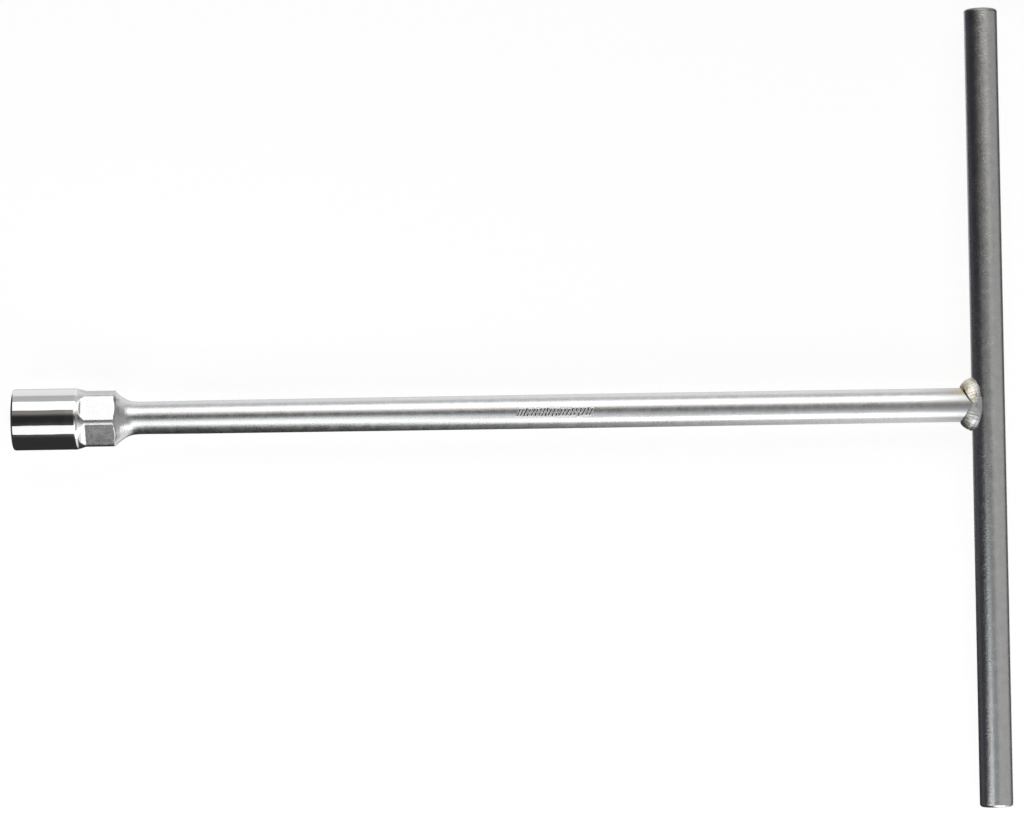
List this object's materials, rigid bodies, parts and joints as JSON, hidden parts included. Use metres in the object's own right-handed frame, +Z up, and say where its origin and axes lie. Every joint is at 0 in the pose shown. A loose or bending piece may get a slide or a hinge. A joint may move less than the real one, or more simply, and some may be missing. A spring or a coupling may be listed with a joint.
{
  "type": "t-handle socket wrench",
  "caption": "T-handle wrench: a hexagon socket on a long straight shank, with a round crossbar welded across its far end, for turning nuts and bolts.",
  "frame": {"origin": "centre of the tool's outline on the bench it lies on", "axes": "+X from the socket's mouth towards the crossbar, +Y along the crossbar, +Z up from the bench; the shank is tipped 0.84 degrees about Y, because the socket is fatter than the crossbar"},
  "size_m": [0.3249, 0.262, 0.0203],
  "materials": {
    "crossbar": "satin chrome plate over a drawn bar",
    "shank": "satin chrome plate, fine grain",
    "socket_head": "barrel turned and mirror polished, hexagon and neck satin chrome plate",
    "weld_bead_upper": "weld metal under plate, straw heat tint",
    "weld_bead_lower": "weld metal under plate, olive grey"
  },
  "bodies": {
    "root": {"crossbar": "crossbar", "shank": "shank", "socket_head": "socket_head", "weld_bead_upper": "weld_bead_upper", "weld_bead_lower": "weld_bead_lower"}
  },
  "joints": []
}
